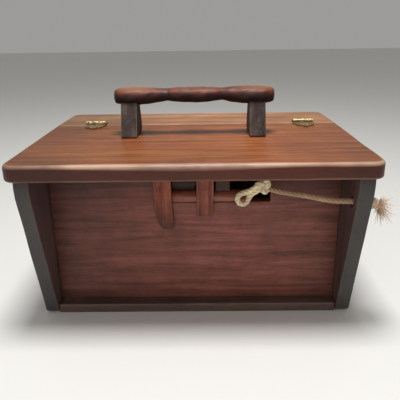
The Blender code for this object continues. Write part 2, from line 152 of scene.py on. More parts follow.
def shrinking(corners, radii, step=0.002, arc=8):
    """Returns ring(inset), the outline moved inwards by inset with the same number of points, and
    each point's place along the list of corners. A corner moves on its mitre and its arc loses inset
    from its radius; the arc is never quite closed, so no two points meet. A quadratic curve from
    arc end to arc end, pushed away from the corner in its middle, stands for the arc."""
    corners, radii = np.array(corners, float), np.array(radii, float)
    area = (corners[:, 0] * np.roll(corners[:, 1], -1) - corners[:, 1] * np.roll(corners[:, 0], -1)).sum()
    if area < 0:
        corners, radii = corners[::-1], radii[::-1]
    on = np.roll(corners, -1, axis=0) - corners
    size = np.linalg.norm(on, axis=1)
    on /= size[:, None]
    back = -np.roll(on, 1, axis=0)
    normal = np.stack([-on[:, 1], on[:, 0]], axis=1)
    before = np.roll(normal, 1, axis=0)
    mitre = (normal + before) / (1 + (normal * before).sum(axis=1))[:, None]
    convex = -back[:, 0] * on[:, 1] + back[:, 1] * on[:, 0] > 0
    half = np.arccos(np.clip((back * on).sum(axis=1), -1, 0.99999)) / 2
    steps = np.maximum(1, (size / step).astype(int))

    def ring(inset):
        place = corners + mitre * inset
        radius = np.where(convex, np.maximum(radii - inset, LEAST_ARC), radii + max(inset, 0.0) + LEAST_ARC)
        start = place + back * (radius / np.tan(half))[:, None]
        stop = place + on * (radius / np.tan(half))[:, None]
        t = np.linspace(0, 1, arc + 1)[:, None]
        points = []
        for k in range(len(corners)):
            middle = start[k] * (1 - t) ** 2 + 2 * place[k] * t * (1 - t) + stop[k] * t ** 2
            away = middle - place[k]
            points.append(place[k] + away * (1 + 0.17 * np.sin(np.pi * t) * (half[k] < 1.2)))
            u = np.linspace(0, 1, steps[k] + 1)[1:-1, None]
            points.append(stop[k] * (1 - u) + start[(k + 1) % len(corners)] * u)
        return np.concatenate(points)

    spots = np.concatenate([np.concatenate([np.full(arc + 1, k), k + np.linspace(0, 1, steps[k] + 1)[1:-1]])
                            for k in range(len(corners))])
    return ring, (spots if area > 0 else len(corners) - 1 - spots)


_, sample = shrinking([(0, 0), (0.1, 0), (0.1, 0.05), (0, 0.05)], [0.004] * 4)
print("an outline of 100 by 50 mm has", len(sample), "points")


# %% Boards
BEND_STEPS, INSET_STEPS = 7, 48


def board(name, corners, radii, axis, low, high, soft, body, finish, stands_for=(), seed=1, uneven=0.35,
          hollow=0.0, step=0.002, grip=None):
    """The outline is carried from low to high along axis. Near each face it shrinks on a quarter
    circle of radius soft, which wanders by uneven. soft is (low face, high face), and each may be a
    list with one radius a corner; hollow lets the sides wave by that many metres. grip is (place along
    the corners, width, amount): the high face's radius grows by amount there, where hands wear it."""
    ring, spots = shrinking(corners, radii, step)
    outline = ring(0.0)
    run = np.concatenate([[0], np.cumsum(np.linalg.norm(np.diff(outline, axis=0), axis=1))])
    wave = 0.5 * (1 - np.cos(2 * np.pi * run / run[-1])) ** 0.3
    deepest = float(np.max([np.max(v) for v in soft])) * (1.6 + (grip[2] if grip else 0))
    insets = np.linspace(-hollow, deepest + 0.0012 + hollow, INSET_STEPS)
    table = np.stack([ring(v) for v in insets])
    bend = np.linspace(0, math.pi / 2, BEND_STEPS)
    rings, wear, flank = [], [], []
    # Pale arris marks: wear on the rounded edges together with a painted highlight there.
    worn_highlight_wave = 0.78 + 0.22 * wander(run, seed + 13, 0.11)
    for side in (0, 1):
        base = np.broadcast_to(np.array(soft[side], float), (len(corners),)).tolist()
        radius = np.interp(spots % len(corners), np.arange(len(corners) + 1), base + base[:1])
        if grip and side:
            radius = radius * (1 + grip[2] * np.exp(-((spots - grip[0]) / grip[1]) ** 2))
        radius = radius * (1 + uneven * wave * wander(run, seed + side, 0.05))
        swing = np.abs(hollow * wave * wander(run, seed + 7, 0.09))
        face, way = (low, 1) if side == 0 else (high, -1)
        stack = [(radius + 0.0006, 0 * radius, 0.0, 0.0)]
        stack += [(radius * (1 - math.sin(b)) + swing * math.sin(b), radius * (1 - math.cos(b)),
                   math.sin(2 * b), b) for b in bend]
        for inset, depth, worn_highlight_share, b in (stack if side == 0 else stack[::-1]):
            spot = np.interp(inset, insets, np.arange(len(insets)))
            k = np.minimum(spot.astype(int), len(insets) - 2)
            mix = (spot - k)[:, None]
            index = np.arange(len(outline))
            flat = table[k, index] * (1 - mix) + table[k + 1, index] * mix
            rings.append(np.concatenate([flat, (face + way * depth)[:, None]], axis=1))
            wear.append(worn_highlight_share * worn_highlight_wave * (0.25 if side == 0 and grip else 1.0))
            flank.append(np.full(len(outline), math.sin(b)))
    order = {"x": [2, 0, 1], "y": [0, 2, 1], "z": [0, 1, 2]}[axis]
    return solid(name, np.array(rings)[:, :, order], body, finish, stands_for,
                 marks={"worn_highlight": np.array(wear), "flank": np.array(flank)})


print("a board's edge is rounded in", BEND_STEPS, "rings")

# %% [markdown]
# ## Wood
# The boards look like an oiled red-brown tropical hardwood: long streaks along the grain, short
# dark pores, patches where the oil has darkened, and pale corners, partly wear and partly a painted
# highlight. A picture of wood would repeat and would need unwrapping. Noise stretched along the
# grain doesn't, and it runs through a board's faces and edges as real grain does. One recipe serves
# all the boards, with its colours and the direction of the grain changed.

# %% Colours and nodes
def srgb(text):
    """Hex sRGB to linear red, green, blue and alpha."""
    values = np.array([int(text[k:k + 2], 16) for k in (0, 2, 4)]) / 255
    linear = np.where(values <= 0.04045, values / 12.92, ((values + 0.055) / 1.055) ** 2.4)
    return [*linear.tolist(), 1.0]


def add_node(tree, kind, settings=None, **inputs):
    """Adds a node. Settings are its properties; each input is a number, a colour or another node's
    socket. Underscores in an input's name stand for spaces, and a name like in_1 means input 1."""
    node = tree.nodes.new(kind)
    for key, value in (settings or {}).items():
        setattr(node, key, value)
    for key, value in inputs.items():
        slot = node.inputs[int(key[3:])] if key.startswith("in_") else node.inputs[key.replace("_", " ")]
        if isinstance(value, bpy.types.NodeSocket):
            tree.links.new(value, slot)
        else:
            slot.default_value = value
    return node


def new_finish(name):
    """A material with its node tree and its Principled shader."""
    finish = bpy.data.materials.new(name)
    finish.use_nodes = True
    return finish, finish.node_tree, finish.node_tree.nodes["Principled BSDF"]


print("mid grey in linear light:", round(srgb("808080")[0], 3))

# %% Oiled wood
CLOUD, BLOTCH = 1 / 16, 1 / 85
FIBRE_WIDTH, FIBRE_LENGTH = 0.0007, 0.020
PORE_WIDTH, PORE_LENGTH = 0.0009, 0.009


def wood(name, dark, middle, light, worn_highlight, rough, along="X", streak=0.004, coat=0.25, pore=0.5, worn_highlight_amount=0.7,
         shade=0.30, lift=0.00035, edge=None, foot=None, painted_lid_shade=None, mottle=0.0, painted_light_pool=None):
    """Three noises are pulled out along the grain: streaks, two streak widths across and forty along,
    then fibres and pores, both drawn wider than real ones, which would not show. The streaks choose
    the colour, and a product of factors darkens it: fibres, 60 mm clouds, pores, 12 mm blotches of
    strength mottle, painted shade that fades upwards (foot) or gathers upwards under the lid
    (painted_lid_shade), each (z0, z1, amount), and painted_light_pool, (centre, inner, outer, gain,
    loss), a painted pool of light that leaves the middle paler. edge is (colour, amount) on the
    flanks: the end boards' grey edges are their own colour, while the lid's dark edges and the
    handle's black underside are painted shade. Arrises turn to the pale arris colour (worn_highlight),
    partly wear and partly a painted highlight."""
    finish, tree, shader = new_finish(name)
    place = add_node(tree, "ShaderNodeTexCoord").outputs["Object"]
    grain = []
    for across, length, detail, roughness, swirl in (
            (streak * 2, streak * 40, 5.0, 0.62, 0.7), (FIBRE_WIDTH, FIBRE_LENGTH, 3.0, 0.6, 0.0),
            (PORE_WIDTH, PORE_LENGTH, 2.0, 0.6, 0.0)):
        scale = [1 / across] * 3
        scale["XYZ".index(along)] = 1 / length
        pulled = add_node(tree, "ShaderNodeMapping", Vector=place, Scale=scale).outputs[0]
        grain.append(add_node(tree, "ShaderNodeTexNoise", Vector=pulled, Scale=1.0, Detail=detail,
                              Roughness=roughness, Distortion=swirl).outputs[0])
    streaks, fibres, pores = grain
    cloud = add_node(tree, "ShaderNodeTexNoise", Vector=place, Scale=1 / CLOUD, Detail=3.0,
                     Roughness=0.6).outputs[0]
    height = add_node(tree, "ShaderNodeSeparateXYZ", Vector=place).outputs[2]
    factors = [(fibres, 0.25, 0.75, 0.82, 1.12), (cloud, 0.3, 0.7, 1.0 - shade, 1.0 + shade * 0.45),
               (pores, 0.60, 0.70, 1.0, 1.0 - pore)]
    if mottle:
        blotch = add_node(tree, "ShaderNodeTexNoise", Vector=place, Scale=1 / BLOTCH, Detail=4.0,
                          Roughness=0.7).outputs[0]
        factors.append((blotch, 0.38, 0.62, 1.0 - mottle, 1.0 + mottle * 0.4))
    # Painted shade that fades upwards from the foot: the panel's base and the straps' tips.
    if foot:
        factors.append((height, foot[0], foot[1], 1.0 - foot[2], 1.0))
    # Painted shade that darkens upwards into the band under the lid.
    if painted_lid_shade:
        factors.append((height, painted_lid_shade[0], painted_lid_shade[1], 1.0, 1.0 - painted_lid_shade[2]))
    # A painted pool of light: paler near the centre, darker away from it.
    if painted_light_pool:
        away = add_node(tree, "ShaderNodeVectorMath", {"operation": "DISTANCE"}, in_0=place,
                        in_1=painted_light_pool[0]).outputs["Value"]
        factors.append((away, *painted_light_pool[1:]))
    depth = 1.0
    for value, low, high, to_low, to_high in factors:
        factor = add_node(tree, "ShaderNodeMapRange", Value=value, From_Min=low, From_Max=high,
                          To_Min=to_low, To_Max=to_high).outputs[0]
        depth = add_node(tree, "ShaderNodeMath", {"operation": "MULTIPLY"}, in_0=depth,
                         in_1=factor).outputs[0]
    ramp = add_node(tree, "ShaderNodeValToRGB", Fac=streaks)
    ramp.color_ramp.elements[0].position, ramp.color_ramp.elements[1].position = 0.30, 0.72
    ramp.color_ramp.elements[0].color = srgb(dark)
    ramp.color_ramp.elements[1].color = srgb(light)
    ramp.color_ramp.elements.new(0.50).color = srgb(middle)
    stain = ramp.outputs[0]
    # Edge colour on the flanks: the end boards' grey edges are their own colour; the lid's dark edges and the
    # handle's black underside are painted shade.
    if edge:
        flank = add_node(tree, "ShaderNodeAttribute", {"attribute_name": "flank"}).outputs["Fac"]
        edge_tone_and_shade = add_node(tree, "ShaderNodeMapRange", Value=flank, From_Min=0.55, To_Max=edge[1]).outputs[0]
        stain = add_node(tree, "ShaderNodeMix", {"data_type": "RGBA"}, in_0=edge_tone_and_shade, in_6=stain,
                         in_7=srgb(edge[0])).outputs[2]
    tint = add_node(tree, "ShaderNodeMix", {"data_type": "RGBA", "blend_type": "MULTIPLY"}, in_0=1.0,
                    in_6=stain, in_7=depth).outputs[2]
    # Paler arrises: partly wear and partly a painted highlight.
    worn_highlight_mask = add_node(tree, "ShaderNodeAttribute", {"attribute_name": "worn_highlight"}).outputs["Fac"]
    patchy = add_node(tree, "ShaderNodeMapRange", Value=cloud, From_Min=0.35, From_Max=0.62,
                      To_Min=0.35 * worn_highlight_amount, To_Max=worn_highlight_amount).outputs[0]
    amount = add_node(tree, "ShaderNodeMath", {"operation": "MULTIPLY"}, in_0=worn_highlight_mask, in_1=patchy).outputs[0]
    colour = add_node(tree, "ShaderNodeMix", {"data_type": "RGBA"}, in_0=amount, in_6=tint,
                      in_7=srgb(worn_highlight)).outputs[2]
    sheen = add_node(tree, "ShaderNodeMapRange", Value=fibres, From_Min=0.3, From_Max=0.7,
                     To_Min=rough - 0.07, To_Max=rough + 0.10).outputs[0]
    relief = add_node(tree, "ShaderNodeMath", {"operation": "MULTIPLY_ADD"}, in_0=pores, in_1=-0.8,
                      in_2=fibres).outputs[0]
    bump = add_node(tree, "ShaderNodeBump", Height=relief, Distance=lift, Strength=0.6).outputs[0]
    tree.links.new(colour, shader.inputs["Base Color"])
    tree.links.new(sheen, shader.inputs["Roughness"])
    tree.links.new(bump, shader.inputs["Normal"])
    shader.inputs["Specular IOR Level"].default_value = 0.34
    shader.inputs["Coat Weight"].default_value = coat
    shader.inputs["Coat Roughness"].default_value = 0.30
    return finish


print("clouds of", round(CLOUD * 1000), "mm and blotches of", round(BLOTCH * 1000), "mm")

# %% [markdown]
# ## The woods of this box
# The maker used one hardwood and then oiled, stained or waxed it, or left it bare. Each finish
# gets a name and its own three streak colours. Painted shade darkens the panel under the lid and
# at its foot, the straps at their tips and the handle beneath, and a painted pool of light leaves
# the middles of the lid, the rear board and the panel paler.

# %% The woods
# Oiled hardwood, planed: warm orange brown with long streaks, a painted pool of light that leaves the middle
# paler, and painted shade on its darker edges.
lid_wood = wood("oiled_hardwood_lid", "6E3818", "8A4C26", "A26630", "D2B096", 0.42, streak=0.0035, coat=0.10,
                edge=("561C0C", 0.92), worn_highlight_amount=0.8, shade=0.26, pore=0.4,
                painted_light_pool=((0.03, -0.03, 0.16), 0.03, 0.16, 1.14, 0.58))
# The same wood, straw brown: partly a paler plank and partly a painted sheen, so the hinge line reads as a
# change of board; a painted pool of light leaves its middle paler.
rear_wood = wood("oiled_hardwood_rear", "865438", "A06E4A", "B88A64", "C0A080", 0.44, coat=0.12,
                 edge=("5A3420", 0.7), painted_light_pool=((0.05, 0.09, 0.16), 0.05, 0.17, 1.08, 0.56))
# Red-brown stain, wiped on: duller than the lid, cloudy, with painted shade under the lid and at the foot,
# and a painted pool of light that leaves the middle paler.
panel_wood = wood("stained_hardwood_panel", "603224", "7C4437", "965A4F", "B07C66", 0.48, streak=0.003,
                  coat=0.06, foot=(0.010, 0.034, 0.16), painted_lid_shade=(0.112, 0.128, 0.45), shade=0.26, mottle=0.14,
                  pore=0.4, painted_light_pool=((0.02, -0.06, 0.065), 0.05, 0.155, 1.12, 0.58))
# Charcoal-grey stain on upright grain: nearly colourless and matt, greyest on the sawn edges.
end_wood = wood("charcoal_stained_board", "4E3A37", "5C4643", "6E5652", "6E6660", 0.56, along="Z", coat=0.03,
                shade=0.22, worn_highlight_amount=0.35, edge=("43403E", 0.97))
# Dark stain that has soaked in: a quiet grey-brown plinth below the red panel.
base_wood = wood("stained_hardwood_base", "4A3833", "5C4740", "70554C", "84685C", 0.52, coat=0.04,
                 worn_highlight_amount=0.5)
# Oiled straps with upright grain: bright orange at the top, with painted shade that greys them at the tips.
strap_wood = wood("oiled_hardwood_strap", "6E2C18", "8E4630", "AC6650", "B07A60", 0.52, along="Z",
                  streak=0.003, coat=0.03, foot=(0.081, 0.114, 0.66), mottle=0.30, worn_highlight_amount=0.30)
# Hardwood rubbed by sliding: the smoothest wood here, with a soft sheen along its length; its colours are
# paler than the panel's as a painted highlight on its lit front.
bolt_wood = wood("rubbed_hardwood_bolt_painted_highlight", "743C2C", "98563F", "B47660", "C89C88", 0.34, streak=0.003, coat=0.2)
# Carved and waxed: deep mahogany with blotches, painted shade that makes it almost black beneath, and warm
# spots on top, partly wear and partly a painted highlight.
handle_wood = wood("waxed_carved_handle", "340F08", "561D10", "78321B", "C08358", 0.50, coat=0.03,
                   mottle=0.50, worn_highlight_amount=0.55, shade=0.45, edge=("170807", 0.94), pore=0.3)
# Hewn, unplaned posts: matt, dark and rough, with the deepest relief of all the woods.
post_wood = wood("hewn_dark_post", "342822", "483A35", "645450", "84705F", 0.68, along="Z", coat=0.0,
                 lift=0.0009, mottle=0.42)
# Bare wood greyed with age: dull small blocks that stay behind the bright strap and cord.
catch_wood = wood("bare_greyed_block", "3E2A24", "523B34", "64493F", "6A5850", 0.62, coat=0.0)
print("woods:", len(bpy.data.materials))

# %% [markdown]
# ## The cord
# A twisted cord of three strands, 4.8 mm thick. It ends in an eye over the bolt's peg, is knotted
# beside it, and runs out through the end board to a knotted, frayed tail. A smooth tube with a
# striped finish would look like wire up close, so the strands are modelled: their lay is what makes
# a cord look like a cord.

# %% Cord finish
FUZZ, SOIL = 1 / 1800, 1 / 90


def cord_finish(name, dark, light):
    """Dry plant fibre: pale and matt, with painted shade down in the lay between the strands. Its fuzz is
    drawn at half a millimetre, coarser than real fibres, which would not show; soil comes in 11 mm patches."""
    finish, tree, shader = new_finish(name)
    place = add_node(tree, "ShaderNodeTexCoord").outputs["Object"]
    lay = add_node(tree, "ShaderNodeAttribute", {"attribute_name": "groove"}).outputs["Fac"]
    fuzz = add_node(tree, "ShaderNodeTexNoise", Vector=place, Scale=1 / FUZZ, Detail=3.0,
                    Roughness=0.7).outputs[0]
    soiled = add_node(tree, "ShaderNodeTexNoise", Vector=place, Scale=1 / SOIL, Detail=2.0).outputs[0]
    ramp = add_node(tree, "ShaderNodeValToRGB", Fac=fuzz)
    ramp.color_ramp.elements[0].position, ramp.color_ramp.elements[1].position = 0.30, 0.68
    ramp.color_ramp.elements[0].color, ramp.color_ramp.elements[1].color = srgb(dark), srgb(light)
    dirt = add_node(tree, "ShaderNodeMapRange", Value=soiled, From_Min=0.40, From_Max=0.65, To_Min=0.82,
                    To_Max=1.05).outputs[0]
    shade = add_node(tree, "ShaderNodeMapRange", Value=lay, To_Min=1.0, To_Max=0.42).outputs[0]
    depth = add_node(tree, "ShaderNodeMath", {"operation": "MULTIPLY"}, in_0=dirt, in_1=shade).outputs[0]
    colour = add_node(tree, "ShaderNodeMix", {"data_type": "RGBA", "blend_type": "MULTIPLY"}, in_0=1.0,
                      in_6=ramp.outputs[0], in_7=depth).outputs[2]
    bump = add_node(tree, "ShaderNodeBump", Height=fuzz, Distance=0.0004, Strength=0.7).outputs[0]
    tree.links.new(colour, shader.inputs["Base Color"])
    tree.links.new(bump, shader.inputs["Normal"])
    shader.inputs["Roughness"].default_value = 0.9
    shader.inputs["Sheen Weight"].default_value = 0.25
    return finish


# Twisted plant fibre that hands pull: pink tan, dry and matt, with painted shade in the grooves between
# strands.
run_fibre = cord_finish("twisted_fibre_handled", "967658", "D0AC88")
# The same fibre bleached by light: creamy, the brightest thing on the box.
knot_fibre = cord_finish("twisted_fibre_bleached", "EED29C", "FFF4D4")
# Fibre combed open at the cord's end: pale tips with tan shadows among them.
tail_fibre = cord_finish("frayed_fibre_pale", "B98E66", "FFE6CC")
print("cord finishes:", run_fibre.name, knot_fibre.name, tail_fibre.name)

# %% [markdown]
# ## Carrying strands along a path
# A smooth curve is drawn through a few points and measured off evenly. At each step a ring stands
# square to the path; its outline has three lobes, which turn as they travel, as the strands do.

# %% Strands round a path
def smooth(knots, steps):
    """Catmull-Rom curve: between two knots it is a cubic, whose slope at each knot is half the way from
    the knot before to the knot after. steps rows are worked out for each stretch."""
    knots = np.array(knots, float)
    ends = np.concatenate([knots[:1], knots, knots[-1:]])
    t = np.linspace(0, 1, steps, endpoint=False)[:, None]
    p = [ends[k:len(ends) - 3 + k][:, None, :] for k in range(4)]
    fine = 0.5 * (2 * p[1] + (p[2] - p[0]) * t + (2 * p[0] - 5 * p[1] + 4 * p[2] - p[3]) * t ** 2
                  + (3 * p[1] - p[0] - 3 * p[2] + p[3]) * t ** 3)
    return np.concatenate([fine.reshape(-1, knots.shape[1]), knots[-1:]])


def spread(knots, count):
    """A smooth curve through the knots, then count points evenly along it."""
    line = smooth(knots, 24)
    run = np.concatenate([[0], np.cumsum(np.linalg.norm(np.diff(line, axis=0), axis=1))])
    at = np.linspace(0, run[-1], count)
    return np.stack([np.interp(at, run, line[:, k]) for k in range(3)], axis=1)


def laid_cord(name, path, radius, pitch, reference, finish, stands_for=(), closed=False, strands=3):
    """The path carries a ring of strand lobes: radius times 0.80 plus 0.20 times the root of
    |cos(strands/2 * angle)|, and the angle turns once every pitch metres of path."""
    path = np.array(path, float)
    if closed:
        ahead = np.roll(path, -1, axis=0) - np.roll(path, 1, axis=0)
        steps = np.linalg.norm(np.roll(path, -1, axis=0) - path, axis=1)
    else:
        ahead = np.gradient(path, axis=0)
        steps = np.linalg.norm(np.diff(path, axis=0), axis=1)
    ahead /= np.linalg.norm(ahead, axis=1)[:, None]
    run = np.concatenate([[0], np.cumsum(steps)])
    turns = run[:len(path)] / pitch
    if closed:
        turns = run[:len(path)] / run[-1] * max(1, round(run[-1] / pitch * strands)) / strands
    side = np.array(reference, float) - (ahead @ np.array(reference, float))[:, None] * ahead
    side /= np.linalg.norm(side, axis=1)[:, None]
    other = np.cross(ahead, side)
    angle = np.linspace(0, 2 * np.pi, 36, endpoint=False)
    lobe = np.abs(np.cos(strands / 2 * (angle[None] - 2 * np.pi * turns[:, None])))
    reach = np.broadcast_to(np.asarray(radius, float), (len(path),))[:, None] * (0.80 + 0.20 * lobe ** 0.55)
    rings = path[:, None] + reach[..., None] * (np.cos(angle)[None, :, None] * side[:, None]
                                                + np.sin(angle)[None, :, None] * other[:, None])
    # The groove mark carries the painted shade down between the strands.
    piece = solid(name, rings, "latch", finish, stands_for, closed, {"groove": (1 - lobe) ** 3})
    return piece, run[-1]


sample = spread([(0, 0, 0), (0.01, 0, 0), (0.02, 0.01, 0)], 12)
print("three points spread into", len(sample))

# %% The run of cord and its eye
LAY = 0.0125
run_knots = [(0.0672, -0.0712, 0.1232), (0.0760, -0.0760, 0.1222), (0.0950, -0.0840, 0.1214),
             (0.1150, -0.0918, 0.1196), (0.1330, -0.0932, 0.1188), (0.1472, -0.0935, 0.1176)]
run_path = spread(run_knots, 160)
cord_run, cord_length = laid_cord("cord_run_laid", run_path, 0.0025, LAY, (0, 0, 1), run_fibre, ["cord_run"])

# The eye is a ring round the peg, drawn out towards the knot where the cord pulls on it.
PEG_X, PEG_Z, EYE_Y = 0.0430, 0.1136, -0.0690
round_peg = np.linspace(0, 2 * np.pi, 96, endpoint=False)
pull = np.clip(np.cos(round_peg - 0.70), 0, 1) ** 4
eye_path = np.stack([PEG_X + 0.0046 * np.cos(round_peg) + 0.0036 * pull,
                     EYE_Y + 0.0008 * np.sin(round_peg + 1),
                     PEG_Z + 0.0047 * np.sin(round_peg) + 0.0034 * pull], axis=1)
cord_eye, _ = laid_cord("cord_eye_laid", eye_path, 0.0026, LAY, (0, 1, 0), knot_fibre, ["cord_eye"],
                        closed=True)
print("cord run:", round(cord_length * 1000, 1), "mm")


# %% The knots
def knot_path(centre, size, turn, count=180):
    """A trefoil, the shape of a tight overhand knot: (sin t + 2 sin 2t, -sin 3t, cos t - 2 cos 2t)."""
    t = np.linspace(0, 2 * np.pi, count, endpoint=False)
    x, z = np.sin(t) + 2 * np.sin(2 * t), np.cos(t) - 2 * np.cos(2 * t)
    y = -1.15 * np.sin(3 * t)
    x, z = math.cos(turn) * x - math.sin(turn) * z, math.sin(turn) * x + math.cos(turn) * z
    return np.array(centre) + size * np.stack([x, y, z], axis=1)


cord_knot, _ = laid_cord("cord_knot_laid", knot_path((0.0608, -0.0722, 0.1268), 0.00180, 0.5), 0.0028, LAY,
                         (0, 1, 0), knot_fibre, ["cord_knot"], closed=True)
stub_path = spread([(0.0600, -0.0720, 0.1285), (0.0622, -0.0745, 0.1322), (0.0644, -0.0762, 0.1352)], 40)
cord_stub, _ = laid_cord("cord_knot_end", stub_path, 0.0020, LAY, (1, 0, 0), knot_fibre)
neck_path = spread([(0.0470, -0.0684, 0.1168), (0.0520, -0.0694, 0.1206), (0.0570, -0.0712, 0.1246)], 40)
cord_neck, _ = laid_cord("cord_eye_neck", neck_path + [0.0011, 0, -0.0013], 0.0023, LAY, (0, 1, 0),
                         knot_fibre)
cord_twin, _ = laid_cord("cord_eye_neck_twin", neck_path + [-0.0012, 0.0004, 0.0014], 0.0023, LAY,
                         (0, 1, 0), knot_fibre)
tail_knot, _ = laid_cord("cord_tail_knot", knot_path((0.1520, -0.0935, 0.1165), 0.00120, 1.2), 0.0022, LAY,
                         (0, 1, 0), tail_fibre, ["cord_tail"], closed=True)
print("points in the knots:", len(cord_knot.data.vertices), "and", len(tail_knot.data.vertices))

# %% [markdown]
# ## The frayed ends
# Where the cord was cut, its strands have come apart into fibres. Hair would vanish when the model
# is exported, so each fibre is a thin tapered tube, and all of them are worked out in one array.

# %% Frayed fibres
FIBRE_RINGS, FIBRE_SIDES = 7, 5


def frayed(name, root, aim, length, count, body, finish, seed, open_angle=0.9):
    """count tapered fibres from a small disc at root. Each leaves at an angle of up to open_angle
    from aim, and curls and droops by the square of the way along it; all are worked out in one array."""
    rng = np.random.default_rng(seed)
    aim = np.array(aim, float) / np.linalg.norm(aim)
    side = np.cross(aim, [0.0, 0.0, 1.0])
    side /= np.linalg.norm(side)
    other = np.cross(aim, side)
    spin = rng.uniform(0, 2 * np.pi, count)
    lean = open_angle * np.sqrt(rng.uniform(0, 1, count))
    out = (np.cos(lean)[:, None] * aim + np.sin(lean)[:, None]
           * (np.cos(spin)[:, None] * side + np.sin(spin)[:, None] * other))
    start = np.array(root) + 0.0012 * (np.cos(spin)[:, None] * side + np.sin(spin)[:, None] * other)
    size = length * rng.uniform(0.45, 1.0, count)
    curl = rng.normal(0, 0.28, (count, 3))
    t = np.linspace(0, 1, FIBRE_RINGS)
    line = (start[:, None] + size[:, None, None] * (out[:, None] * t[None, :, None]
            + (curl[:, None] + np.array([0, 0, -0.28])) * t[None, :, None] ** 2))
    around = np.linspace(0, 2 * np.pi, FIBRE_SIDES, endpoint=False)
    thick = (0.00032 * rng.uniform(0.6, 1.2, count))[:, None] * (1 - 0.75 * t[None])
    u = np.cross(out, [0.31, 0.52, 0.79])
    u /= np.linalg.norm(u, axis=1)[:, None]
    v = np.cross(out, u)
    rings = line[:, :, None] + thick[:, :, None, None] * (np.cos(around)[:, None] * u[:, None, None]
                                                          + np.sin(around)[:, None] * v[:, None, None])
    base = np.arange(count)[:, None, None] * FIBRE_RINGS * FIBRE_SIDES
    grid = np.arange(FIBRE_RINGS * FIBRE_SIDES).reshape(FIBRE_RINGS, FIBRE_SIDES)[None] + base
    quads = np.stack([grid[:, :-1], np.roll(grid[:, :-1], -1, axis=2), np.roll(grid[:, 1:], -1, axis=2),
                      grid[:, 1:]], axis=-1).reshape(-1, 4)
    faces = quads.tolist() + grid[:, 0, ::-1].tolist() + grid[:, -1].tolist()
    mesh = bpy.data.meshes.new(name)
    mesh.from_pydata(rings.reshape(-1, 3).tolist(), [], faces)
    mesh.polygons.foreach_set("use_smooth", np.ones(len(faces), dtype=bool))
    shade = np.broadcast_to(0.45 * (1 - t)[None, :, None], (count, FIBRE_RINGS, FIBRE_SIDES))
    mark = mesh.attributes.new("groove", "FLOAT", "POINT")
    mark.data.foreach_set("value", shade.astype(np.float32).ravel())
    mesh.materials.append(finish)
    piece = bpy.data.objects.new(name, mesh)
    bpy.context.collection.objects.link(piece)
    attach(piece, body)
    return piece


cord_tail = frayed("cord_tail_frayed", (0.1545, -0.0935, 0.1155), (1.0, -0.1, -0.15), 0.0130, 260, "latch",
                   tail_fibre, 5, 1.15)
cord_whisk = frayed("cord_knot_frayed", (0.0642, -0.0760, 0.1348), (0.4, -0.1, 0.9), 0.0030, 40, "latch",
                    knot_fibre, 8, 0.6)
print("points in the frayed ends:", len(cord_tail.data.vertices), "and", len(cord_whisk.data.vertices))

# %% [markdown]
# ## The lid boards
# Two boards of the same wood: the front one opens and carries the handle, the rear one is fixed.
# The front corners are rounded in plan, and the front edge is worn round, most of all in the
# middle, where it is gripped. Both boards take their places from the working model.

# %% Lid boards
LID_SPARE = 0.0013


def plan(node):
    """The four plan corners of a node's box, from front left round, and its two heights."""
    low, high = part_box(node)
    more = LID_SPARE if "lid" in node else 0.0
    return [(low[0] - more, low[1]), (high[0] + more, low[1]), (high[0] + more, high[1]),
            (low[0] - more, high[1])], low[2], high[2]


corners, low, high = plan("lid_front_board")
lid_front = board("lid_front_finished", corners, [0.0115, 0.0115, 0.0008, 0.0008], "z", low, high,
                  ([0.0022, 0.0022, 0.0008, 0.0008], [0.0034, 0.0034, 0.0010, 0.0010]), "lid", lid_wood,
                  ["lid_front_board"], seed=3, uneven=0.22, hollow=0.0004, grip=(0.47, 0.22, 0.75))
corners, low, high = plan("lid_rear_board")
lid_rear = board("lid_rear_finished", corners, [0.0008, 0.0008, 0.010, 0.010], "z", low, high,
                 (0.0012, [0.0009, 0.0009, 0.0022, 0.0022]), "box", rear_wood, ["lid_rear_board"], seed=9)
print("lid front board:", len(lid_front.data.vertices), "points")

# %% [markdown]
# ## The box's boards
# The front and back panels stand on the base between two flared end boards. The end boards are
# stained nearly black, and their sawn front edges are what the eye sees. The right one is bored
# for the cord, and a boolean does that as a drill would, after the board is made.

# %% End boards
FOOT_SET, SHOULDER_SET, CREST_SET = 0.0355, 0.0030, 0.0005
SIDE_RADII = [0.0045, 0.05, 0.02, 0.02, 0.001]
OUTER_SPARE = {"left": 0.0004, "right": 0.0009}
CORD_HOLE, CORD_HOLE_RADIUS = np.array([0.139, -0.0935, 0.1185]), 0.0052


def side_view():
    """The end board's outline, from the front foot up and over to the back foot."""
    low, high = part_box("end_panel_left")
    half = np.array([(low[1] + FOOT_SET, low[2]), (low[1] + SHOULDER_SET, 0.120), (low[1] + CREST_SET, 0.130),
                     (low[1], 0.138), (low[1] + CREST_SET, high[2])])
    return np.concatenate([half, half[::-1] * [-1, 1]])


def bore(piece, place, radius, reach):
    """Cuts a round hole along X with an exact boolean and keeps the result as the piece's mesh."""
    count = 48
    t = np.linspace(0, 2 * np.pi, count, endpoint=False)
    ring = np.stack([0 * t, radius * np.cos(t), radius * np.sin(t)], axis=1) + place
    mesh = bpy.data.meshes.new("bore_tool")
    points = np.concatenate([ring - [reach, 0, 0], ring + [reach, 0, 0]])
    k = np.arange(count)
    sides = np.stack([k, np.roll(k, -1), np.roll(k, -1) + count, k + count], axis=1).tolist()
    mesh.from_pydata(points.tolist(), [], sides + [k[::-1].tolist(), (k + count).tolist()])
    tool = bpy.data.objects.new("bore_tool", mesh)
    bpy.context.collection.objects.link(tool)
    cut = piece.modifiers.new("bore", "BOOLEAN")
    cut.object, cut.solver, cut.operation = tool, "EXACT", "DIFFERENCE"
    done = piece.evaluated_get(bpy.context.evaluated_depsgraph_get())
    fresh = bpy.data.meshes.new_from_object(done)
    piece.modifiers.clear()
    fresh.set_sharp_from_angle(angle=math.radians(35))
    piece.data = fresh
    bpy.data.objects.remove(tool, do_unlink=True)


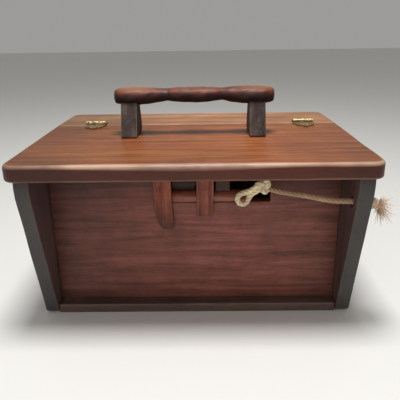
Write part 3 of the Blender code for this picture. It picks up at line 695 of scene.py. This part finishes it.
for tag, spare in OUTER_SPARE.items():
    low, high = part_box(f"end_panel_{tag}")
    inner_x = low[0] - spare * (tag == "left")
    outer_x = high[0] + spare * (tag == "right")
    end = board(f"end_finished_{tag}", side_view(), SIDE_RADII + SIDE_RADII[::-1], "x", inner_x, outer_x,
                (0.0012, 0.0012), "box", end_wood, [f"end_panel_{tag}"], seed=20 + len(tag), uneven=0.5,
                hollow=0.0003)
    if tag == "right":
        bore(end, CORD_HOLE, CORD_HOLE_RADIUS, 0.02)
    print(end.name, len(end.data.vertices), "points")

# %% [markdown]
# ## The panels and the base
# The front panel has a groove in its top edge, in which the bolt slides. Sliding has rounded the
# groove's lower edge, so its two corners get a bigger radius than the rest of the panel.

# %% Front panel, back panel and base
GROOVE_LEFT, GROOVE_RIGHT, GROOVE_FLOOR = -0.0360, 0.0690, 0.1080
low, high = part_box("front_panel")
grooved = [(low[0], low[2]), (high[0], low[2]), (high[0], high[2]), (GROOVE_RIGHT, high[2]),
           (GROOVE_RIGHT, GROOVE_FLOOR), (GROOVE_LEFT, GROOVE_FLOOR), (GROOVE_LEFT, high[2]),
           (low[0], high[2])]
grooved_radii = [0.0005, 0.0005, 0.0005, 0.0006, 0.0010, 0.0010, 0.0006, 0.0005]
# The groove's rounder lower corners show more of the pale arris colour, a painted highlight on the groove's
# lit edge.
grooved_front = [0.0008, 0.0008, 0.0005, 0.0006, 0.0020, 0.0020, 0.0006, 0.0005]
front = board("front_panel_finished", grooved, grooved_radii, "y", low[1], high[1], (grooved_front, 0.0006),
              "box", panel_wood, ["front_panel"], seed=31)
low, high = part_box("back_panel")
square = [(low[0], low[2]), (high[0], low[2]), (high[0], high[2]), (low[0], high[2])]
back = board("back_panel_finished", square, [0.0005] * 4, "y", low[1], high[1], (0.0007, 0.0007), "box",
             panel_wood, ["back_panel"], seed=37)
corners, low_z, high_z = plan("base_board")
base = board("base_finished", corners, [0.0008] * 4, "z", low_z, high_z, (0.0007, 0.0010), "box", base_wood,
             ["base_board"], seed=41, hollow=0.0002)
print("groove:", round((GROOVE_RIGHT - GROOVE_LEFT) * 1000, 1), "mm long")

# %% [markdown]
# ## The latch
# Two upright straps hold a rounded bolt in its groove. The straps were whittled, so their sides
# are not quite straight, and their outlines are points given one by one. The bolt is rubbed
# smooth where it slides, and small lips behind the straps keep it from lifting.

# %% Straps
STRAP_FRONT, STRAP_BACK, STRAP_TOP = -0.0673, -0.0623, 0.1450
left_side = [(-0.0379, STRAP_TOP), (-0.0372, 0.1100), (-0.0358, 0.0970), (-0.0338, 0.0890), (-0.0305, 0.0840),
             (-0.0200, 0.0835), (-0.0197, 0.0900), (-0.0212, 0.1120), (-0.0216, STRAP_TOP)]
right_side = [(0.0014, STRAP_TOP), (0.0014, 0.0965), (0.0022, 0.0957), (0.0148, 0.0957), (0.0157, 0.0965),
              (0.0171, 0.1200), (0.0171, STRAP_TOP)]
left_radii = [0.0004, 0.03, 0.02, 0.008, 0.002, 0.0015, 0.01, 0.03, 0.0004]
right_radii = [0.0004, 0.0006, 0.0004, 0.0004, 0.0006, 0.03, 0.0004]
straps = []
for tag, outline, radii, front_edge, seed in (("left", left_side, left_radii, 0.0011, 51),
                                              ("right", right_side, right_radii, 0.0009, 57)):
    strap = board(f"strap_finished_{tag}", outline, radii, "y", STRAP_FRONT, STRAP_BACK, (front_edge, 0.0004),
                  "box", strap_wood, [f"strap_{tag}"], seed=seed, uneven=0.4, step=0.001)
    straps.append(strap)
    print(strap.name, len(strap.data.vertices), "points")

# %% Hold-down lips
LIP_FRONT, LIP_BACK, LIP_LOW, LIP_HIGH = -0.0625, -0.0545, 0.1176, 0.1210
for strap, (left, right) in zip(straps, ((-0.0350, -0.0225), (0.0020, 0.0160))):
    shelf = [(left, LIP_FRONT), (right, LIP_FRONT), (right, LIP_BACK), (left, LIP_BACK)]
    lip = board(strap.name + "_lip", shelf, [0.0004] * 4, "z", LIP_LOW, LIP_HIGH, (0.0003, 0.0003), "box",
                strap_wood, seed=61)
    print(lip.name, round((right - left) * 1000, 1), "mm wide")

# %% Bolt
low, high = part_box("latch_bolt")
section = [(low[1], low[2]), (high[1], low[2]), (high[1], high[2]), (low[1], high[2])]
bolt = board("bolt_finished", section, [0.0010, 0.0012, 0.0012, 0.0062], "x", low[0], high[0],
             (0.0008, 0.0008), "latch", bolt_wood, ["latch_bolt"], seed=71)
for name, finish in (("latch_peg", bolt_wood), ("latch_tongue", catch_wood), ("lid_catch", catch_wood)):
    nodes[name].data.materials.clear()
    nodes[name].data.materials.append(finish)
print("bolt:", round((high[0] - low[0]) * 1000, 1), "mm long")

# %% [markdown]
# ## The handle
# The bar was carved by hand into three swellings with two waists for the fingers. A lathe shape
# would be round and even, so rings are strung along the bar instead: each has its own width,
# height and lift, and shallow facets wander over them as the knife did.

# %% Handle bar
BAR_Y, BAR_Z = -0.0035, 0.1975
SQUARED, WIDEST = 0.82, 0.0126


def carved_bar():
    """Rings along X: each station is (x, half width, half height, lift), and a smooth curve runs
    through them. The section is a circle squared off a little, and knife facets wander over it."""
    stations = [
        (-0.0775, 0.0012, 0.0010, 0.0), (-0.0769, 0.0066, 0.0052, 0.0), (-0.0740, 0.0106, 0.0071, 0.0),
        (-0.0640, 0.0126, 0.0081, 0.0), (-0.0480, 0.0121, 0.0079, 0.0), (-0.0330, 0.0088, 0.0064, 0.0006),
        (-0.0262, 0.0078, 0.0058, 0.0009), (-0.0225, 0.0086, 0.0061, 0.0009),
        (-0.0120, 0.0102, 0.0069, 0.0007), (0.0010, 0.0110, 0.0073, 0.0006),
        (0.0150, 0.0100, 0.0067, 0.0008), (0.0250, 0.0079, 0.0057, 0.0011),
        (0.0288, 0.0082, 0.0060, 0.0010), (0.0360, 0.0100, 0.0074, 0.0006), (0.0480, 0.0122, 0.0080, 0.0002),
        (0.0630, 0.0126, 0.0081, 0.0), (0.0732, 0.0106, 0.0070, 0.0), (0.0762, 0.0066, 0.0052, 0.0),
        (0.0768, 0.0012, 0.0010, 0.0)]
    x, wide, tall, lift = np.split(smooth(stations, 9), 4, axis=1)
    angle = np.linspace(0, 2 * np.pi, 72, endpoint=False)[None]
    c, s = np.cos(angle), np.sin(angle)
    knife = (1 + 0.022 * np.sin(4 * angle + 60 * x) * np.sin(x * 230 + 2 * angle)
             + 0.010 * np.sin(x * 560 + 3 * angle))
    y = BAR_Y + knife * wide * np.sign(c) * np.abs(c) ** SQUARED
    z = BAR_Z + lift + knife * tall * np.sign(s) * np.abs(s) ** SQUARED
    rings = np.stack([np.broadcast_to(x, y.shape), y, z], axis=-1)
    # Pale patches on top of the widest swellings: wear and a painted highlight.
    worn_highlight_share = np.clip(wide / WIDEST, 0, 1) ** 3 * np.clip(s, 0, 1) ** 2 * 0.8
    # Painted shade under the bar: this mark turns the underside almost black through the edge colour.
    under = np.clip(0.90 - s, 0, 1) + 0 * worn_highlight_share
    bar = solid("handle_bar_carved", rings, "lid", handle_wood, ["handle_bar"],
                marks={"worn_highlight": worn_highlight_share, "flank": under})
    return bar


handle_bar = carved_bar()
print("handle bar:", len(handle_bar.data.vertices), "points")

# %% [markdown]
# ## The posts
# Each post is an upright block hewn from dark wood, narrow in front and deeper at the foot. Its
# side view is an outline like any board's, so the board maker serves again, with uneven edges.

# %% Handle posts
for tag in ("left", "right"):
    low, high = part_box(f"handle_post_{tag}")
    side = [(-0.0250, low[2]), (0.0150, low[2]), (0.0180, low[2] + 0.004), (0.0165, low[2] + 0.011),
            (0.0080, high[2]), (-0.0140, high[2])]
    post = board(f"handle_post_hewn_{tag}", side, [0.0012, 0.0015, 0.003, 0.006, 0.0012, 0.0012], "x",
                 low[0], high[0], (0.0008, 0.0008), "lid", post_wood, [f"handle_post_{tag}"],
                 seed=81 + len(tag), uneven=0.5, hollow=0.0002)
    print(post.name, round((high[2] - low[2]) * 1000, 1), "mm tall")

# %% [markdown]
# ## Brass and nails
# The hinges are thin stamped brass, dulled by age in patches; the nail heads are plain steel. Their
# shapes in the working model are fine enough to keep, so they only get a finish: two tones of
# metal, mixed by noise, with the dull tone rougher than the bright one.

# %% Metal finishes
def aged_metal(name, clean, dull, rough, spot):
    """Metal with two tones mixed by patches of width spot and by finer specks; dull parts are rougher."""
    finish, tree, shader = new_finish(name)
    place = add_node(tree, "ShaderNodeTexCoord").outputs["Object"]
    patch = add_node(tree, "ShaderNodeTexNoise", Vector=place, Scale=1 / spot, Detail=6.0,
                     Roughness=0.75).outputs[0]
    mix = add_node(tree, "ShaderNodeMapRange", Value=patch, From_Min=0.42, From_Max=0.60).outputs[0]
    colour = add_node(tree, "ShaderNodeMix", {"data_type": "RGBA"}, in_0=mix, in_6=srgb(clean),
                      in_7=srgb(dull)).outputs[2]
    dulled = add_node(tree, "ShaderNodeMapRange", Value=mix, To_Min=rough, To_Max=rough + 0.3).outputs[0]
    bump = add_node(tree, "ShaderNodeBump", Height=patch, Distance=0.0003, Strength=0.6).outputs[0]
    tree.links.new(colour, shader.inputs["Base Color"])
    tree.links.new(dulled, shader.inputs["Roughness"])
    tree.links.new(bump, shader.inputs["Normal"])
    shader.inputs["Metallic"].default_value = 1.0
    return finish


# Thin stamped brass, tarnished: yellow where rubbed bright, brown-black and rougher in patches.
brass = aged_metal("aged_stamped_brass", "D2BC90", "5E4C32", 0.30, 0.003)
# Nail heads of plain steel, rubbed: small grey glints that stand off from the yellow leaves.
steel = aged_metal("rubbed_steel_nail", "B8B0A4", "5A5450", 0.35, 0.002)
for name, node in nodes.items():
    if name.startswith("hinge_"):
        node.data.materials.clear()
        node.data.materials.append(steel if "nail" in name else brass)
print("metal pieces:", sum(name.startswith("hinge_") for name in nodes))

# %% [markdown]
# ## Floor and light
# A pale plain floor, a soft light overhead and a little to the front, and an even pale surround. The
# overhead light is no wider than the box and more than a metre up, so the handle's shadow keeps its
# shape; the large front light and the surround fill the shadows under the lid.

# %% Floor
FLOOR_HALF, FLOOR_GRAIN = 6.0, 1 / 60
mesh = bpy.data.meshes.new("floor")
mesh.from_pydata([(-FLOOR_HALF, -FLOOR_HALF, 0), (FLOOR_HALF, -FLOOR_HALF, 0), (FLOOR_HALF, FLOOR_HALF, 0),
                  (-FLOOR_HALF, FLOOR_HALF, 0)], [], [(0, 1, 2, 3)])
# Pale matt paint: an even light ground that takes a soft shadow, with a sheen that varies a little.
floor_finish, tree, shader = new_finish("pale_matt_floor")
grain = add_node(tree, "ShaderNodeTexNoise", Vector=add_node(tree, "ShaderNodeTexCoord").outputs["Object"],
                 Scale=1 / FLOOR_GRAIN, Detail=4.0).outputs[0]
tone = add_node(tree, "ShaderNodeMapRange", Value=grain, To_Min=0.45, To_Max=0.62).outputs[0]
tree.links.new(tone, shader.inputs["Roughness"])
shader.inputs["Base Color"].default_value = srgb("DCDBD7")
mesh.materials.append(floor_finish)
floor = bpy.data.objects.new("floor", mesh)
bpy.context.collection.objects.link(floor)
print("floor:", 2 * FLOOR_HALF, "m wide")


# %% Lights and surround
def area_light(name, place, target, size, power):
    """A square soft light at place, facing target."""
    lamp = bpy.data.lights.new(name, "AREA")
    lamp.shape, lamp.size, lamp.energy = "SQUARE", size, power
    light = bpy.data.objects.new(name, lamp)
    bpy.context.collection.objects.link(light)
    light.location = place
    back = light.location - type(light.location)(target)
    light.rotation_mode = "QUATERNION"
    light.rotation_quaternion = back.to_track_quat("Z", "Y")
    return light


lights = [area_light("overhead", (0.02, -0.17, 1.20), (0, 0, 0.1), 0.30, 14.5),
          area_light("front_fill", (-0.30, -1.7, 0.95), (0, 0, 0.08), 1.3, 6.5)]
world = bpy.data.worlds.new("surround")
world.use_nodes = True
world.node_tree.nodes["Background"].inputs[0].default_value = srgb("D6D4D1")
world.node_tree.nodes["Background"].inputs[1].default_value = 0.50
bpy.context.scene.world = world
bpy.context.scene.view_settings.view_transform = "Standard"
print("lights:", [(light.name, light.data.energy) for light in lights])

# %% [markdown]
# ## A last update
# The view layer is brought up to date, so every finished piece stands in its place.

bpy.context.view_layer.update()
